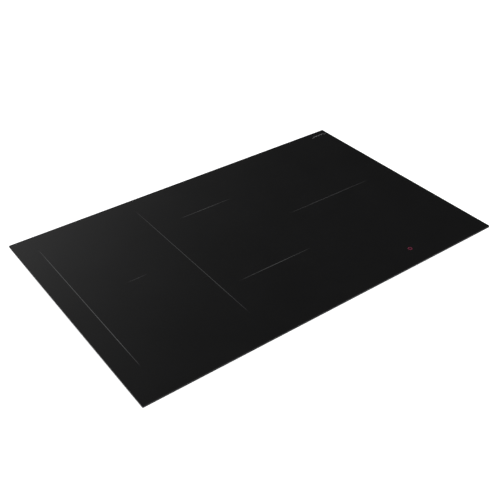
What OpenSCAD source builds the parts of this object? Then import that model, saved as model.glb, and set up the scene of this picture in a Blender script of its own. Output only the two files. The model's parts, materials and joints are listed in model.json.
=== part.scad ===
// Built-in induction cooktop, cooking surface up, front edge towards -Y, millimetres.
// The origin is at the middle of the underside of the tray.

/* [Glass] */
// Width of the glass top
glass_w = 800; // [790:1:1000]
// Depth of the glass top, front to back
glass_d = 510; // [500:1:620]
// Thickness of the glass
glass_t = 4; // [4:0.5:6]
// Radius of the glass's corners
glass_corner_r = 2; // [1:0.5:6]

/* [Printed marks] */
// Width of a printed line
line_w = 1.2; // [0.6:0.1:2]
// Thickness of the print
print_t = 0.04; // [0.02:0.01:0.1]
// Outer radius of the power symbol
power_r = 4.1; // [3:0.1:6]
// Distance of the power symbol from the front edge
power_inset = 41.5; // [35:0.5:60]
// Shift of the power symbol towards the left from the right zone's middle
power_shift = 1.5; // [0:0.5:10]
// Outer radius of one turn in the corner mark
mark_r = 5; // [2:0.1:6]

/* [Tray] */
// Height from the tray's underside to the glass's underside
body_h = 46; // [44:1:60]
// Thickness of the tray's sheet steel
tray_wall = 1; // [0.8:0.1:1.5]
// Gap from the glass's side edges to the tray
tray_inset_x = 28; // [25:1:40]
// Gap from the glass's front and rear edges to the tray
tray_inset_y = 16; // [14:1:25]
// Height and run of the sloped lower front wall
slope = 29; // [20:1:32]
// Radius of the tray's upright corners
tray_corner_r = 5; // [3:0.5:10]
// Gap between the tray's rim and the glass
rim_gap = 0.5; // [0.3:0.1:1]
// Depth of the stiffening beads in the tray's floor
bead_t = 1.5; // [1:0.1:2.5]

/* [Seal] */
// Width of the sealing tape
seal_w = 8; // [5:0.5:10]
// Thickness of the sealing tape
seal_t = 2; // [1:0.5:3]
// Gap from the glass's edge to the tape
seal_inset = 3; // [2:0.5:4]

/* [Rails] */
// Height of a rail's upright leg
rail_h = 15; // [12:0.5:16]
// Width of a rail's flat leg
rail_w = 12; // [10:0.5:13]
// Thickness of the rails
rail_t = 1.5; // [1:0.1:2]

/* [Clamps] */
// Radius of a clamp screw's shank
clamp_screw_r = 2.5; // [2:0.1:3.2]
// Width of a clamp arm
clamp_w = 13; // [12:0.5:14]
// Reach of a clamp arm from its screw
clamp_reach = 34; // [28:1:42]
// Height of the pockets that the clamps fold into
pocket_h = 28; // [24:1:29]
// Distance of a clamp's screw from the tray's middle, front to back
clamp_y = 158; // [130:1:180]

/* [Coils] */
// Thickness of a coil deck
deck_t = 1.5; // [1:0.1:2]
// Thickness of a ferrite bar
ferrite_t = 4; // [3:0.5:5]
// Height of a winding
winding_h = 3.6; // [3:0.1:4.5]
// Spacing of the turns in a winding
turn_pitch = 3.4; // [3:0.1:4.5]
// Radius of the free middle of a coil
coil_hole_r = 24; // [18:1:30]
// Outer radius of the left coils' round ends
left_coil_r = 86; // [70:1:90]
// Length added to the left coils from side to side
left_stretch = 22; // [10:1:24]
// Outer radius of the small round coil
small_coil_r = 70; // [60:1:74]
// Outer radius of the large round coil
large_coil_r = 98; // [80:1:102]
// Outer radius of the right coil
right_coil_r = 110; // [90:1:112]
// Wire thickness of the deck springs
spring_wire = 1.4; // [1:0.1:1.8]
// Radius of the deck springs at the middle of the wire
spring_r = 5; // [4.5:0.1:6]

/* [Electronics] */
// Thickness of a circuit board
board_t = 1.6; // [1:0.1:2]
// Height of the pips that carry the boards
standoff_h = 4; // [3:0.5:5]
// Width of a heatsink
sink_w = 44; // [36:1:48]
// Length of a heatsink
sink_l = 148; // [100:1:150]
// Height of a heatsink
sink_h = 20; // [14:1:21]
// Radius of a fan rotor
rotor_r = 32; // [26:0.5:33]
// Radius of a fan's axle
axle_r = 1.5; // [1:0.1:2]
// Height of a fan housing
fan_h = 26; // [22:0.5:27]

/* [Mains inlet] */
// Radius of the cable bore in the grommet
cable_r = 6.5; // [5:0.1:7.5]
// Width of the terminal compartment's opening
terminal_w = 76; // [60:1:90]
// Radius of the terminal cover's hinge pins
cover_pin_r = 1.5; // [1:0.1:1.7]

/* [Clearances] */
// Radial clearance of a turning fit
running_gap = 0.05; // [0.03:0.01:0.09]
// Gap between pieces that lie side by side
side_gap = 0.1; // [0.05:0.05:0.3]

/* [Hidden] */
$fn = 48;
eps = 0.01;
glass_top_z = body_h + glass_t;
left_x = -glass_w / 2;
front_y = -glass_d / 2;
rear_y = glass_d / 2;

// tray faces
tray_x = glass_w / 2 - tray_inset_x;
tray_y = glass_d / 2 - tray_inset_y;
tray_top = body_h - rim_gap;
floor_z = tray_wall;
bottom_front_y = -tray_y + slope;

// zones: middle of each coil, as [x, y, stretch, outer radius]
left_zone_x = left_x + 149;
left_zone_y = 15;
left_zone_pitch = 2 * left_coil_r + 16;
middle_zone_x = -20;
right_zone_x = glass_w / 2 - 183;
right_zone_y = 19;
left_coils = [
    [left_zone_x, left_zone_y - left_zone_pitch / 2, left_stretch, left_coil_r],
    [left_zone_x, left_zone_y + left_zone_pitch / 2, left_stretch, left_coil_r]
];
middle_coils = [
    [middle_zone_x, rear_y - 353, 0, large_coil_r],
    [middle_zone_x, rear_y - 118.5, 0, small_coil_r]
];
right_coils = [[right_zone_x, right_zone_y, 0, right_coil_r]];

// decks, as [x, y, width, depth]
deck_margin = 8;
left_deck_size = [
    left_zone_x, left_zone_y,
    2 * left_coil_r + left_stretch + 2 * deck_margin - 2,
    left_zone_pitch + 2 * left_coil_r + 2 * deck_margin
];
middle_front = middle_coils[0][1] - large_coil_r - deck_margin;
middle_rear = middle_coils[1][1] + small_coil_r + deck_margin;
middle_deck_size = [
    middle_zone_x, (middle_front + middle_rear) / 2,
    2 * large_coil_r + 2 * deck_margin, middle_rear - middle_front
];
right_deck_size = [right_zone_x, right_zone_y, 2 * right_coil_r + 14, 2 * right_coil_r + 14];

// heights of the coil stack, measured down from the glass
mat_top = body_h - 0.3;
mat_t = 2.2;
former_top = mat_top - mat_t;
winding_z = former_top - 0.4 - winding_h;
former_t = 1.5;
ferrite_z = winding_z - former_t - ferrite_t;
deck_z = ferrite_z - deck_t;
former_wall = 2;
sensor_r = 8;
spring_inset = 7;
spring_turns = 5;

// power modules: middle of each board
board_w = 173;
board_d = 150;
board_z = floor_z + standoff_h;
module_places = [[left_zone_x, left_zone_y], [right_zone_x, right_zone_y]];
sink_x = -45;
sink_z = board_z + board_t;
fan_wall = 1.5;
scroll_r = rotor_r + 3.5;
channel_w = scroll_r;
fan_x = sink_x - channel_w / 2;
fan_reach = scroll_r + 12;
fan_y = board_d / 2 + 1 + fan_reach;
intake_r = rotor_r - 6;
filter_size = [110, 110];
filter_place = [middle_zone_x - 55, rear_y - 135];

// mains inlet
box_wall = 2;
box_x0 = left_x + 65;
box_grommet_w = 32;
box_w = terminal_w + box_grommet_w + 2 * box_wall;
box_depth = 34;
box_z0 = 4;
box_h = 26;
flange_t = 1;
flange_w = 3;
cover_t = 2;
cover_axis_y = tray_y + flange_t + 2.4 + running_gap;
cover_axis_z = 7;
cover_barrel_r = 2;
grommet_x = box_x0 + terminal_w + box_wall + box_grommet_w / 2;
grommet_z = box_z0 + box_h / 2;
grommet_r = cable_r + 2.5;

// touch panel
touch_w = 234;
touch_d = 44;
touch_x = right_zone_x;
touch_y = front_y + 31 + touch_d / 2;
touch_z = body_h - 5.6;

// screws through the tray into the rails
screw_r = 1.75;
screw_z = body_h - 8;
front_screw_x = [-0.4, -0.14, 0.14, 0.4];
side_screw_y = [-0.2, 0.2];

// ---- shared shapes ----

module rounded_rect(w, d, r) {
    square([w - 2 * r, d], center = true);
    square([w, d - 2 * r], center = true);
    for (x = [-1, 1], y = [-1, 1]) translate([x * (w / 2 - r), y * (d / 2 - r)]) circle(r);
}

// a racetrack outline: a circle pulled out sideways by stretch
module racetrack(stretch, r) {
    if (stretch > 0) {
        square([stretch, 2 * r], center = true);
        for (x = [-1, 1]) translate([x * stretch / 2, 0]) circle(r);
    } else {
        circle(r);
    }
}

module racetrack_ring(stretch, r_out, r_in) {
    difference() {
        racetrack(stretch, r_out);
        racetrack(stretch, r_in);
    }
}

// an upright slot outline
module slot_2d(w, l) {
    square([w, l - w], center = true);
    for (y = [-1, 1]) translate([0, y * (l - w) / 2]) circle(w / 2, $fn = 24);
}

// a row of upright slots
module slot_row(count, pitch, w, l) {
    for (i = [0:count - 1]) translate([(i - (count - 1) / 2) * pitch, 0]) slot_2d(w, l);
}

// extrudes a Y-Z outline along X
module along_x(length) {
    rotate([90, 0, 90]) linear_extrude(length, center = true) children();
}

module box_at(low, size) {
    translate(low) cube(size);
}

function corners(place) = [
    for (x = [-1, 1], y = [-1, 1])
        [place[0] + x * (place[2] / 2 - spring_inset), place[1] + y * (place[3] / 2 - spring_inset)]
];

function board_corners(place, size) = [
    for (x = [-1, 1], y = [-1, 1])
        [place[0] + x * (size[0] / 2 - 6), place[1] + y * (size[1] / 2 - 6)]
];

// clamp k: side -1 left or 1 right, end -1 front or 1 rear
arm_gap = 1.5;
bush_r = clamp_screw_r + 2.5;
clamp_inset = max(clamp_w / 2 + arm_gap, bush_r + tray_wall + rail_t + side_gap + 0.4);
pocket_depth = clamp_inset + clamp_w / 2 + arm_gap;
function clamp_place(side, end) = [side * (tray_x - clamp_inset), end * clamp_y];

// ---- glass and prints ----

module glass_top() {
    color("#141414") translate([0, 0, body_h]) linear_extrude(glass_t)
        rounded_rect(glass_w, glass_d, glass_corner_r);
}

// lines as [x, y, length along x, length along y]
zone_lines = [
    [left_x + 40.5, left_zone_y, 0, 392],
    [left_x + 257, left_zone_y + 4, 0, 396],
    [left_x + 149, left_zone_y + 4, 48, 0],
    [middle_zone_x, rear_y - 118.5, 130, 0],
    [middle_zone_x, rear_y - 353, 170, 0],
    [right_zone_x, right_zone_y, 222, 0]
];

module zone_markings() {
    color("#6a6a6a") translate([0, 0, glass_top_z]) linear_extrude(print_t)
        for (l = zone_lines) translate([l[0], l[1]])
            square([max(l[2], line_w), max(l[3], line_w)], center = true);
}

module power_symbol() {
    stroke = power_r * 0.2;
    place = [right_zone_x - power_shift, front_y + power_inset, glass_top_z];
    color("#a02030") translate(place) linear_extrude(print_t) {
        difference() {
            circle(power_r);
            circle(power_r - stroke);
            polygon([[0, 0], [-power_r, 1.6 * power_r], [power_r, 1.6 * power_r]]);
        }
        translate([-stroke / 2, power_r * 0.15]) square([stroke, power_r]);
    }
}

// the circuit sign of a coil: a row of half turns between two leads
module corner_mark() {
    stroke = mark_r * 0.22;
    pitch = 2 * mark_r - stroke;
    turns = 4;
    x0 = glass_w / 2 - 27;
    lead = mark_r * 0.5;
    color("#8c8c8c") translate([x0, rear_y - 20, glass_top_z]) linear_extrude(print_t) {
        for (i = [0:turns - 1]) translate([(i - (turns - 1) / 2) * pitch, 0]) difference() {
            circle(mark_r);
            circle(mark_r - stroke);
            translate([-mark_r, -2 * mark_r]) square(2 * mark_r);
        }
        for (s = [-1, 1]) translate([s * (turns * pitch / 2 + lead / 2), stroke / 2])
            square([lead + stroke, stroke], center = true);
    }
}

// ---- seal ----

seal_x = glass_w / 2 - seal_inset;
seal_y = glass_d / 2 - seal_inset;

module seal_cross(side) {
    color("#202020") translate([0, side * (seal_y - seal_w / 2), body_h - seal_t / 2])
        cube([2 * seal_x, seal_w, seal_t], center = true);
}

module seal_side(side) {
    color("#202020") translate([side * (seal_x - seal_w / 2), 0, body_h - seal_t / 2])
        cube([seal_w, 2 * (seal_y - seal_w), seal_t], center = true);
}

// ---- rails ----

rail_out_x = tray_x - tray_wall - side_gap;
rail_out_y = tray_y - tray_wall - side_gap;
rail_end = tray_corner_r;

// an angle rail on the +X side: its upright leg outwards, its flat leg inwards
module rail_angle(out, length) {
    difference() {
        union() {
            box_at([out - rail_t, -length / 2, body_h - rail_h], [rail_t, length, rail_h]);
            box_at([out - rail_w, -length / 2, body_h - rail_t], [rail_w, length, rail_t]);
        }
        children();
    }
}

module rail_cross(side) {
    color("#c4c7ca") rotate([0, 0, side > 0 ? 90 : -90])
        rail_angle(rail_out_y, 2 * (rail_out_x - rail_end))
            for (f = front_screw_x) translate([0, -side * f * glass_w, screw_z])
                rotate([0, 90, 0]) cylinder(h = tray_y + 9, r = screw_r + running_gap);
}

module rail_side(side) {
    color("#c4c7ca") rotate([0, 0, side > 0 ? 0 : 180])
        rail_angle(rail_out_x, 2 * (rail_out_y - rail_w - side_gap))
            for (f = side_screw_y) translate([0, side * f * glass_d, screw_z])
                rotate([0, 90, 0]) cylinder(h = tray_x + 9, r = screw_r + running_gap);
}

// ---- tray ----

// the tray's outline from the side, moved in by the given thickness
module tray_outline(t, top) {
    lean = t * (sqrt(2) - 1);
    polygon([
        [bottom_front_y + lean, t],
        [tray_y - t, t],
        [tray_y - t, top],
        [-tray_y + t, top],
        [-tray_y + t, slope + lean]
    ]);
}

module tray_block(t, top) {
    intersection() {
        along_x(2 * (tray_x - t)) tray_outline(t, top);
        linear_extrude(top) rounded_rect(2 * (tray_x - t), 2 * (tray_y - t), tray_corner_r - t);
    }
}

// the pocket beside one clamp, grown by t on every closed side
module clamp_pocket(side, end, t) {
    place = clamp_place(side, end);
    near = clamp_w / 2 + 2 + t;
    far = clamp_reach + 3 + t;
    depth = pocket_depth + t;
    x0 = side > 0 ? tray_x - depth : -tray_x - 5;
    y0 = end > 0 ? place[1] - far : place[1] - near;
    box_at([x0, y0, -5], [depth + 5, near + far, pocket_h + t + 5]);
}

module front_outlets() {
    translate([0, bottom_front_y - slope / 2, slope / 2]) rotate([-45, 0, 0])
        translate([0, 0, -6]) linear_extrude(12)
            for (m = module_places) translate([m[0], 0]) slot_row(17, 9, 4, 24);
}

module side_vents() {
    along_x(2 * glass_w) translate([0, 17]) slot_row(15, 9, 4, 20);
}

module rear_vents() {
    translate([right_zone_x, tray_y, 17]) rotate([90, 0, 0]) linear_extrude(8, center = true)
        slot_row(15, 9, 4, 20);
}

// parallel slots that fill a circle under each fan
module intake_grilles() {
    pitch = 6.5;
    r = rotor_r - 2;
    slots = floor((r - 2) / pitch);
    for (m = module_places) translate([m[0] + fan_x, m[1] + fan_y, -5]) linear_extrude(20)
        for (i = [-slots:slots]) translate([i * pitch, 0])
            slot_2d(3.5, 2 * sqrt(r * r - i * i * pitch * pitch));
}

// stiffening beads across the floor, between the middle deck's springs
bead_w = 8;
bead_l = middle_deck_size[2] - 2 * spring_inset - 30;
bead_rows = [left_zone_y - 165, left_zone_y - 137, rear_y - 69];
module beads(grow) {
    for (y = bead_rows) translate([middle_zone_x, y, 0]) linear_extrude(bead_t + grow) rotate([0, 0, 90])
        slot_2d(bead_w + 2 * grow, bead_l + 2 * grow);
}

module tray_pips() {
    for (d = [left_deck_size, middle_deck_size, right_deck_size], c = corners(d))
        translate([c[0], c[1], tray_wall / 2]) cylinder(h = 6 + tray_wall / 2, r = spring_r - spring_wire);
    for (m = module_places, c = board_corners(m, [board_w, board_d]))
        translate([c[0], c[1], tray_wall / 2]) cylinder(h = board_z - tray_wall / 2, r = 3);
    for (c = board_corners(filter_place, filter_size))
        translate([c[0], c[1], tray_wall / 2]) cylinder(h = board_z - tray_wall / 2, r = 3);
}

// a pressed bush over each clamp pocket, for the clamp screw
module screw_bushes() {
    for (s = [-1, 1], e = [-1, 1]) let (p = clamp_place(s, e))
        translate([p[0], p[1], pocket_h + tray_wall / 2]) cylinder(h = 6, r = bush_r);
}

module bottom_tray() {
    color("#b9bdc1") difference() {
        union() {
            difference() {
                tray_block(0, tray_top);
                difference() {
                    tray_block(tray_wall, tray_top + 5);
                    for (s = [-1, 1], e = [-1, 1]) clamp_pocket(s, e, tray_wall);
                }
            }
            beads(tray_wall);
            tray_pips();
            screw_bushes();
        }
        for (s = [-1, 1], e = [-1, 1]) clamp_pocket(s, e, 0);
        translate([0, 0, -eps]) beads(eps);
        front_outlets();
        side_vents();
        rear_vents();
        intake_grilles();
        for (s = [-1, 1], e = [-1, 1]) let (p = clamp_place(s, e))
            translate([p[0], p[1], pocket_h - 1]) cylinder(h = 20, r = clamp_screw_r + running_gap);
        box_at([box_x0 - box_wall - side_gap, tray_y - 10, box_z0 - side_gap],
            [box_w + 2 * side_gap, 20, box_h + 2 * side_gap]);
        for (f = front_screw_x) translate([f * glass_w, 0, screw_z])
            rotate([90, 0, 0]) cylinder(h = glass_d, r = screw_r + running_gap, center = true);
        for (f = side_screw_y) translate([0, f * glass_d, screw_z])
            rotate([0, 90, 0]) cylinder(h = glass_w, r = screw_r + running_gap, center = true);
    }
}

// a pan-head screw with a cross recess, pointing down -Z from its seat at the origin
module pan_screw(r, length, head_r, head_h) {
    difference() {
        union() {
            translate([0, 0, -length]) cylinder(h = length + head_h / 2, r = r);
            cylinder(h = head_h, r = head_r);
        }
        for (a = [0, 90]) rotate([0, 0, a]) translate([0, 0, head_h])
            cube([head_r * 1.2, head_r * 0.25, head_h], center = true);
    }
}

module tray_screws() {
    color("#d8d8d8") {
        for (s = [-1, 1], f = front_screw_x) translate([f * glass_w, s * tray_y, screw_z])
            rotate([s > 0 ? -90 : 90, 0, 0]) pan_screw(screw_r, 5, 3.6, 2);
        for (s = [-1, 1], f = side_screw_y) translate([s * tray_x, f * glass_d, screw_z])
            rotate([0, s * 90, 0]) pan_screw(screw_r, 5, 3.6, 2);
    }
}

module rating_plate() {
    color("#d5d8da") translate([40, tray_y + 0.2, 19]) rotate([90, 0, 0])
        linear_extrude(0.4, center = true) rounded_rect(70, 22, 2);
}

// ---- clamps ----

clamp_t = 2;
clamp_z = 3;
toe_h = 12;
head_h = 2.2;

clamp_bend_r = 3.5;
lip_l = 7;

// a quarter ring: the bend of a strip
module strip_bend() {
    intersection() {
        difference() {
            circle(clamp_bend_r);
            circle(clamp_bend_r - clamp_t);
        }
        square(clamp_bend_r);
    }
}

// a clamp from its side: the flat arm, the toe and the lip bent back over it
module clamp_profile() {
    bend_x = clamp_reach - clamp_bend_r;
    square([bend_x, clamp_t]);
    translate([bend_x, clamp_bend_r]) mirror([0, 1]) strip_bend();
    translate([clamp_reach - clamp_t, clamp_bend_r]) square([clamp_t, toe_h - 2 * clamp_bend_r]);
    translate([bend_x, toe_h - clamp_bend_r]) strip_bend();
    translate([clamp_reach - lip_l, toe_h - clamp_t]) square([lip_l - clamp_bend_r, clamp_t]);
}

// a swivelling arm in its pocket, lying from its screw towards the tray's middle
module clamp(side, end) {
    place = clamp_place(side, end);
    color("#cfd2d4") translate([place[0], place[1], clamp_z]) rotate([0, 0, end > 0 ? -90 : 90]) difference() {
        union() {
            cylinder(h = clamp_t, r = clamp_w / 2);
            rotate([90, 0, 0]) linear_extrude(clamp_w, center = true) clamp_profile();
        }
        translate([0, 0, -1]) cylinder(h = clamp_t + 2, r = clamp_screw_r + running_gap);
    }
}

module clamp_screws() {
    color("#e0e0e0") for (s = [-1, 1], e = [-1, 1]) let (p = clamp_place(s, e))
        translate([p[0], p[1], clamp_z - side_gap]) rotate([180, 0, 0])
            pan_screw(clamp_screw_r, pocket_h + 8 - clamp_z, bush_r, head_h);
}

// ---- coil decks ----

module deck(size, coils) {
    color("#b4b7b9") translate([0, 0, deck_z]) difference() {
        union() {
            translate([size[0], size[1]]) linear_extrude(deck_t) rounded_rect(size[2], size[3], 8);
            for (c = corners(size)) translate([c[0], c[1], -3])
                cylinder(h = 3 + deck_t / 2, r = spring_r - spring_wire);
        }
        for (c = coils) translate([c[0], c[1], -1]) cylinder(h = deck_t + 2, r = sensor_r - 3);
        for (c = coils) translate([c[0], c[1], -1]) linear_extrude(deck_t + 2)
            for (a = [0:45:315]) rotate([0, 0, a + 22.5]) translate([0, c[3] * 0.62]) slot_2d(6, c[3] * 0.4);
    }
}

// turns of flat litz, raised as ribs from one solid band
module winding(c) {
    outer = c[3] - former_wall - 1;
    count = floor((outer - coil_hole_r) / turn_pitch);
    translate([c[0], c[1], winding_z]) {
        linear_extrude(winding_h * 0.75) racetrack_ring(c[2], outer, outer - count * turn_pitch);
        translate([0, 0, winding_h * 0.75]) linear_extrude(winding_h * 0.25)
            for (i = [0:count - 1])
                racetrack_ring(c[2], outer - i * turn_pitch, outer - (i + 0.78) * turn_pitch);
    }
}

// a dish with a rim inside and outside the winding
module former(c) {
    translate([c[0], c[1], winding_z - former_t]) {
        linear_extrude(former_t) racetrack_ring(c[2], c[3], sensor_r + 1);
        linear_extrude(former_top - winding_z + former_t) {
            racetrack_ring(c[2], c[3], c[3] - former_wall);
            racetrack_ring(0, sensor_r + 1 + former_wall, sensor_r + 1);
        }
    }
}

module ferrites(c) {
    inner = sensor_r + 9;
    for (a = [0:45:315]) translate([c[0] + (abs(cos(a)) > 0.5 ? sign(cos(a)) * c[2] / 2 : 0), c[1], ferrite_z])
        rotate([0, 0, a]) box_at([inner, -6, 0], [c[3] - 6 - inner, 12, ferrite_t]);
}

module mat(c) {
    translate([c[0], c[1], former_top]) linear_extrude(mat_t) racetrack_ring(c[2], c[3] - 1, sensor_r + 2);
}

// a spring-loaded sensor: stem in the deck, cap under the glass
module sensor(c) {
    translate([c[0], c[1], deck_z]) {
        cylinder(h = deck_t, r = sensor_r - 3 - side_gap);
        translate([0, 0, deck_t]) cylinder(h = mat_top - deck_z - deck_t - 3, r = sensor_r - 2);
        translate([0, 0, mat_top - deck_z - 3]) cylinder(h = 3, r = sensor_r);
    }
}

module windings(coils) color("#a8642c") for (c = coils) winding(c);
module formers(coils) color("#d9d6cc") for (c = coils) former(c);
module ferrite_sets(coils) color("#3a3a3c") for (c = coils) ferrites(c);
module mats(coils) color("#e6e2d8") for (c = coils) mat(c);
module sensors(coils) color("#b8452f") for (c = coils) sensor(c);

// height of a spring's wire after t turns: closed first and last turns
function spring_height(t, h) =
    let (closed = 1.2 * spring_wire, free = (h - spring_wire - 2 * closed) / (spring_turns - 2))
    spring_wire / 2 + (t < 1 ? closed * t
        : t < spring_turns - 1 ? closed + free * (t - 1)
        : closed + free * (spring_turns - 2) + closed * (t - spring_turns + 1));

// a coil spring from z = 0 to z = h, swept as one closed tube
module coil_spring(h) {
    steps = 10 * spring_turns;
    sides = 6;
    points = [
        for (i = [0:steps], j = [0:sides - 1])
            let (t = i / 10, a = 360 * t, b = 360 * j / sides, rr = spring_r + spring_wire / 2 * cos(b))
            [rr * cos(a), rr * sin(a), spring_height(t, h) + spring_wire / 2 * sin(b)]
    ];
    walls = [
        for (i = [0:steps - 1], j = [0:sides - 1])
            let (k = (j + 1) % sides, a = i * sides, b = a + sides)
            each [[a + j, b + j, b + k], [a + j, b + k, a + k]]
    ];
    first = [for (j = [0:sides - 1]) j];
    last = [for (j = [0:sides - 1]) steps * sides + sides - 1 - j];
    polyhedron(points, concat(walls, [first], [last]));
}

module springs(size) {
    color("#d0d4d8") for (c = corners(size)) translate([c[0], c[1], floor_z]) coil_spring(deck_z - floor_z);
}

// ---- power electronics ----

// a board with small parts on it, as [x, y, width, depth, height]
module board(place, size, z, parts) {
    color("#1f6b3a") translate([place[0], place[1], z]) {
        translate([-size[0] / 2, -size[1] / 2]) cube([size[0], size[1], board_t]);
        for (p = parts) translate([p[0] - p[2] / 2, p[1] - p[3] / 2, board_t / 2])
            cube([p[2], p[3], p[4] + board_t / 2]);
    }
}

board_parts = [
    [8, -62, 18, 8, 9], [34, -62, 18, 8, 9], [58, -62, 12, 12, 3], [76, -40, 10, 22, 8],
    [76, -8, 10, 18, 8], [50, -48, 16, 12, 2], [24, -48, 14, 8, 2], [0, 64, 20, 8, 10],
    [26, 64, 12, 6, 4], [44, 64, 8, 8, 3], [-78, -30, 8, 24, 6], [-78, 10, 8, 24, 6]
];
filter_parts = [
    [-40, 42, 14, 10, 10], [-20, 42, 14, 10, 10], [0, 42, 14, 10, 10], [38, 40, 20, 14, 12],
    [42, 0, 12, 26, 14], [-44, -2, 10, 18, 6], [30, -44, 24, 8, 8]
];

module heatsink(place) {
    fins = 9;
    base_t = 3;
    color("#c9ccce") translate([place[0] + sink_x, place[1], sink_z]) rotate([90, 0, 0])
        linear_extrude(sink_l, center = true) {
            translate([-sink_w / 2, 0]) square([sink_w, base_t]);
            for (i = [0:fins - 1])
                translate([-sink_w / 2 + i * (sink_w - 1.8) / (fins - 1), base_t / 2])
                    square([1.8, sink_h - base_t / 2]);
        }
}

module transistor(x, y, w) {
    translate([x, y, sink_z + 3]) translate([0, -w / 2, 0]) cube([5, w, sink_h - 3]);
    for (i = [-1, 0, 1]) translate([x + 2, y + i * w / 4, sink_z + 1.5]) cube([1, 1.4, 3], center = true);
}

module power_transistors() {
    color("#26262a") for (m = module_places, y = [-52, -26, 0, 26, 52])
        transistor(m[0] + sink_x + sink_w / 2, m[1] + y, y == 52 ? 22 : 16);
}

module capacitors() {
    color("#e4e2da") {
        for (m = module_places, x = [22, 44], y = [-24, 6])
            box_at([m[0] + x - 9, m[1] + y - 13, sink_z], [18, 26, 20]);
        for (m = module_places) box_at([m[0] + 58, m[1] + 22, sink_z], [20, 34, 21]);
        for (y = [-20, 12]) box_at([filter_place[0] - 30, filter_place[1] + y - 13, sink_z], [14, 26, 20]);
    }
}

// a toroid choke standing on a small foot
module choke(x, y) {
    translate([x, y, sink_z]) {
        cylinder(h = 3, r = 13);
        translate([0, 0, 7]) rotate_extrude() translate([12, 0]) circle(5.5);
    }
}

module chokes() {
    color("#a8642c") {
        for (m = module_places) choke(m[0] + 30, m[1] + 42);
        for (y = [-20, 16]) choke(filter_place[0] + 8, filter_place[1] + y);
    }
}

// ---- fans ----

module fan_outer() {
    circle(scroll_r + fan_wall);
    translate([0, -fan_reach]) square([channel_w + fan_wall, fan_reach]);
}

module fan_inner() {
    circle(scroll_r);
    translate([fan_wall, -fan_reach - 1]) square([channel_w - fan_wall, fan_reach + 1]);
}

module fan_housing(place) {
    seat_r = 12;
    stator_r = 9;
    color("#2a2a2c") translate([place[0] + fan_x, place[1] + fan_y, floor_z]) {
        linear_extrude(fan_wall) difference() {
            fan_outer();
            difference() {
                circle(intake_r);
                circle(seat_r);
                for (a = [0, 120, 240]) rotate(a) translate([-2, 0]) square([4, rotor_r]);
            }
        }
        linear_extrude(fan_h) difference() {
            fan_outer();
            fan_inner();
        }
        translate([0, 0, fan_wall / 2]) cylinder(h = 10, r = stator_r);
        cylinder(h = fan_h - 3, r = axle_r);
    }
}

module fan_rotor(place) {
    hub_r = 12;
    low = 3.5;
    high = fan_h - 4;
    blades = 21;
    color("#3c3c40") translate([place[0] + fan_x, place[1] + fan_y, floor_z]) difference() {
        union() {
            translate([0, 0, high - 1.5]) cylinder(h = 1.5, r = rotor_r);
            translate([0, 0, low]) cylinder(h = high - low - 0.5, r = hub_r);
            translate([0, 0, low]) linear_extrude(1.5) difference() {
                circle(rotor_r);
                circle(rotor_r - 8);
            }
            for (i = [0:blades - 1]) rotate([0, 0, i * 360 / blades]) translate([rotor_r - 9.5, 0, low + 0.5])
                rotate([0, 0, 30]) cube([9, 1.2, high - low - 1]);
        }
        translate([0, 0, low - 1]) cylinder(h = 12 - low + 1, r = hub_r - 1.6);
        cylinder(h = fan_h, r = axle_r + running_gap);
    }
}

// ---- mains inlet ----

module terminal_box() {
    inner_z = box_z0 + box_wall;
    inner_h = box_h - 2 * box_wall;
    lug = 4;
    color("#333336") difference() {
        union() {
            difference() {
                box_at([box_x0 - box_wall, tray_y - box_depth, box_z0], [box_w, box_depth, box_h]);
                box_at([box_x0, tray_y - box_depth + box_wall, inner_z],
                    [box_w - 2 * box_wall, box_depth - 2 * box_wall, inner_h]);
                box_at([box_x0, tray_y - box_depth / 2, inner_z], [terminal_w, box_depth, inner_h]);
            }
            difference() {
                box_at([box_x0 - box_wall - flange_w, tray_y, box_z0 - 2], [box_w + 2 * flange_w, flange_t, box_h + 4]);
                box_at([box_x0, tray_y - 1, inner_z], [terminal_w, flange_t + 2, inner_h]);
            }
            for (x = [box_x0 - 1 - lug, box_x0 + terminal_w + 1])
                box_at([x, tray_y, cover_axis_z - 3], [lug, cover_axis_y - tray_y + 2.4, 6]);
        }
        translate([box_x0 + terminal_w / 2, cover_axis_y, cover_axis_z]) rotate([0, 90, 0])
            cylinder(h = terminal_w + 2 * lug + 4, r = cover_pin_r + running_gap, center = true);
        translate([grommet_x, tray_y, grommet_z]) rotate([90, 0, 0])
            cylinder(h = 10, r = grommet_r + side_gap / 2, center = true);
    }
}

module terminal_block() {
    poles = 6;
    w = terminal_w - 14;
    pitch = w / poles;
    color("#ece8dc") translate([box_x0 + 7, tray_y - box_depth + box_wall, box_z0 + box_wall]) difference() {
        cube([w, 17, 15]);
        for (i = [0:poles - 1]) translate([(i + 0.5) * pitch, 0, 0]) {
            translate([0, 6, 5]) rotate([-90, 0, 0]) cylinder(h = 20, r = 2.6);
            translate([0, 11, 8]) cylinder(h = 20, r = 2.2);
        }
        for (i = [1:poles - 1]) box_at([i * pitch - 0.5, -1, 11], [1, 30, 10]);
    }
}

module terminal_cover() {
    barrel_l = terminal_w - 1;
    cover_h = box_z0 + box_h - cover_axis_z;
    mid_x = box_x0 + terminal_w / 2;
    color("#3b3b3f") {
        difference() {
            union() {
                translate([mid_x, cover_axis_y, cover_axis_z]) rotate([0, 90, 0])
                    cylinder(h = barrel_l, r = cover_barrel_r, center = true);
                translate([mid_x, cover_axis_y, cover_axis_z]) rotate([0, 90, 0])
                    cylinder(h = terminal_w + 8, r = cover_pin_r, center = true);
                box_at([mid_x - barrel_l / 2, cover_axis_y - cover_t / 2, cover_axis_z], [barrel_l, cover_t, cover_h]);
                box_at([mid_x - 6, tray_y - 2, cover_axis_z + cover_h - 5.5], [12, 4.5, 1.5]);
            }
            for (i = [-3:3]) box_at([mid_x + i * 9 - 1, cover_axis_y + cover_t / 2 - 0.6, cover_axis_z + 6],
                [2, 2, cover_h - 12]);
        }
    }
}

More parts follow.
